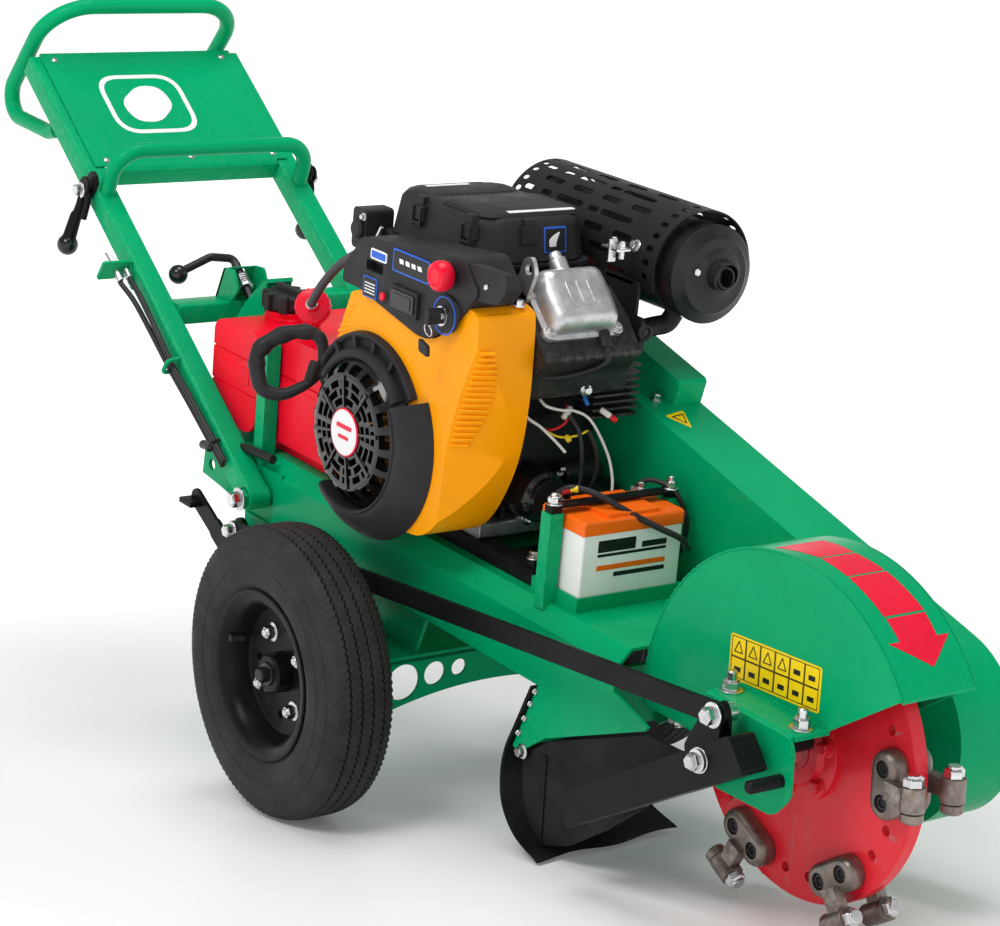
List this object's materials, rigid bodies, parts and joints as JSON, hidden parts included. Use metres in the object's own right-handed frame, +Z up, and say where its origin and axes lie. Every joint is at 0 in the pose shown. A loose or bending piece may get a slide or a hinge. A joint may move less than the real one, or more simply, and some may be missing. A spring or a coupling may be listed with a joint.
{
  "type": "stump grinder",
  "caption": "Walk-behind stump grinder on two wheels: engine, belt-driven toothed cutting disc in a curved guard, and a height-adjustable handlebar.",
  "frame": {"origin": "middle of the footprint, on the ground under the tyres and the lowest cutter tooth", "axes": "+X towards the cutter, +Y to the side with the belt guard, +Z up; the handlebar is at -X"},
  "size_m": [2.0184, 0.674, 1.1117],
  "materials": {
    "green_paint": "gloss",
    "black_steel": "satin",
    "black_plastic": "matte",
    "engine_black": "cast",
    "engine_orange": "gloss",
    "disc_red": "gloss",
    "tank_red": "gloss",
    "cast_steel": "rough",
    "zinc": "satin",
    "alloy": "cast",
    "tyre_rubber": "matte",
    "flap_rubber": "matte",
    "battery_case": "satin"
  },
  "bodies": {
    "chassis": {"chassis_frame": "green_paint", "axle_beam": "green_paint", "axle_shaft": "zinc", "cutter_guard": "green_paint", "belt_guard": "green_paint", "drive_belt": "flap_rubber", "bearing_near": "black_steel", "bearing_far": "black_steel", "rubber_flap": "flap_rubber", "side_curtain": "flap_rubber", "engine_mount": "black_steel", "crankcase": "alloy", "front_cylinder": "engine_black", "rear_cylinder": "engine_black", "front_valve_cover": "alloy", "rear_valve_cover": "alloy", "blower_housing": "engine_orange", "recoil_cover": "black_plastic", "control_panel": "black_plastic", "air_filter_base": "black_plastic", "muffler_body": "black_steel", "muffler_shield": "black_steel", "exhaust_pipe": "black_steel", "oil_filter": "black_steel", "starter_motor": "black_steel", "fuel_tank": "tank_red", "vapour_filter": "tank_red", "fuel_hose": "flap_rubber", "battery": "battery_case", "battery_clamp": "black_steel"},
    "handlebar": {"handle_frame": "green_paint", "top_handle": "green_paint", "console_panel": "green_paint", "brake_cables": "flap_rubber", "lock_spring": "zinc"},
    "wheel_near": {"tyre_near": "tyre_rubber", "rim_near": "black_steel"},
    "wheel_far": {"tyre_far": "tyre_rubber", "rim_far": "black_steel"},
    "cutter": {"cutter_disc": "disc_red", "tooth_set_1": "cast_steel", "tooth_set_2": "cast_steel", "tooth_set_3": "cast_steel", "tooth_set_4": "cast_steel", "tooth_set_5": "cast_steel", "tooth_set_6": "cast_steel", "cutter_shaft": "zinc", "driven_pulley": "cast_steel"},
    "crank": {"drive_pulley": "cast_steel"},
    "support_arm": {"support_arm": "black_steel"},
    "link_bar": {"link_bar": "black_steel"},
    "pedal_lever": {"pedal_lever": "black_steel"},
    "filter_lid": {"air_filter_lid": "black_plastic"},
    "fuel_cap": {"fuel_cap": "black_plastic"},
    "ignition_key": {"ignition_key": "zinc"},
    "choke_knob": {"choke_knob": "tank_red"},
    "pull_handle": {"pull_handle": "black_plastic"},
    "brake_lever_near": {"brake_lever_near": "black_plastic"},
    "brake_lever_far": {"brake_lever_far": "black_plastic"},
    "lock_plunger": {"lock_plunger": "black_steel"}
  },
  "joints": [
    {"name": "wheel_near_spin", "type": "hinge", "parent": "chassis", "child": "wheel_near", "pos_m": [0.02038, -0.288, 0.2], "axis": [0, 1, 0], "continuous": true},
    {"name": "wheel_far_spin", "type": "hinge", "parent": "chassis", "child": "wheel_far", "pos_m": [0.02038, 0.288, 0.2], "axis": [0, 1, 0], "continuous": true},
    {"name": "cutter_spin", "type": "hinge", "parent": "chassis", "child": "cutter", "pos_m": [0.7908, -0.04, 0.20946], "axis": [0, 1, 0], "continuous": true},
    {"name": "crank_spin", "type": "hinge", "parent": "chassis", "child": "crank", "pos_m": [0.09332, 0.135, 0.52628], "axis": [0, 1, 0], "continuous": true},
    {"name": "handlebar_height", "type": "hinge", "parent": "chassis", "child": "handlebar", "pos_m": [-0.25575, 0, 0.39], "axis": [0, 1, 0], "range_deg": [-8, 8]},
    {"name": "lock_plunger_slide", "type": "slide", "parent": "handlebar", "child": "lock_plunger", "axis": [0.6424, 0, -0.7664], "range_m": [0, 0.014]},
    {"name": "brake_lever_near_turn", "type": "hinge", "parent": "handlebar", "child": "brake_lever_near", "pos_m": [-0.69787, -0.194, 0.81855], "axis": [0, 1, 0], "range_deg": [-25, 25]},
    {"name": "brake_lever_far_turn", "type": "hinge", "parent": "handlebar", "child": "brake_lever_far", "pos_m": [-0.69787, 0.194, 0.81855], "axis": [0, 1, 0], "range_deg": [-25, 25]},
    {"name": "support_arm_lift", "type": "hinge", "parent": "chassis", "child": "support_arm", "pos_m": [0.79147, -0.19, 0.21899], "axis": [0, 1, 0], "range_deg": [-10, 25]},
    {"name": "link_bar_swing", "type": "hinge", "parent": "support_arm", "child": "link_bar", "pos_m": [0.80615, -0.188, 0.27327], "axis": [0, 1, 0], "range_deg": [-25, 10]},
    {"name": "pedal_lever_swing", "type": "hinge", "parent": "chassis", "child": "pedal_lever", "pos_m": [-0.29953, -0.179, 0.28603], "axis": [0, 1, 0], "range_deg": [-10, 25]},
    {"name": "filter_lid_lift", "type": "slide", "parent": "chassis", "child": "filter_lid", "axis": [0.1742, 0, 0.9847], "range_m": [0, 0.05]},
    {"name": "fuel_cap_turn", "type": "hinge", "parent": "chassis", "child": "fuel_cap", "pos_m": [-0.343, -0.052, 0.66032], "axis": [0.1742, 0, 0.9847], "range_deg": [0, 120]},
    {"name": "ignition_key_turn", "type": "hinge", "parent": "chassis", "child": "ignition_key", "pos_m": [0.2944, -0.215, 0.69281], "axis": [0, 1, 0], "range_deg": [0, 90]},
    {"name": "choke_knob_pull", "type": "slide", "parent": "chassis", "child": "choke_knob", "axis": [0, -1, 0], "range_m": [0, 0.015]},
    {"name": "pull_handle_draw", "type": "slide", "parent": "chassis", "child": "pull_handle", "axis": [-0.8253, -0.5316, 0.1904], "range_m": [0, 0.12], "stiffness_N_per_m": 60, "springref_m": -0.05}
  ],
  "couplings": [
    {"joint": "crank_spin", "follows": "cutter_spin", "ratio": 1.2581},
    {"joint": "link_bar_swing", "follows": "support_arm_lift", "ratio": -1},
    {"joint": "pedal_lever_swing", "follows": "support_arm_lift", "ratio": 1}
  ]
}
